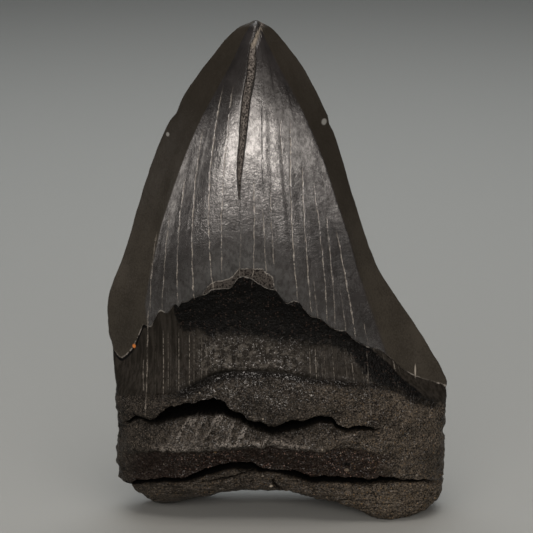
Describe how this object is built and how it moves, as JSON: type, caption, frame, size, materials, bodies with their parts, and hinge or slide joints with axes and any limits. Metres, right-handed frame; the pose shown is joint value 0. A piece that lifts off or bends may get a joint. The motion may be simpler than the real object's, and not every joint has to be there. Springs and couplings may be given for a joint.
{
  "type": "megalodon tooth",
  "caption": "Fossil shark tooth: broad triangular crown with cutting edges, chevron band and a thick cracked root whose lobes rest on a surface.",
  "frame": {"origin": "bottom centre of the bounding box, on the surface that the root lobes stand on", "axes": "+Z from root to tip, +X to the viewer's right with the tongue side facing the viewer, -Y the tongue side with the chevron band, +Y the flatter lip side"},
  "size_m": [0.1024, 0.0336, 0.1485],
  "materials": {
    "fossil": "black fossil tooth: satin enamel on the crown, dull and pitted on the root"
  },
  "bodies": {
    "root": {"tooth": "fossil"}
  },
  "joints": []
}
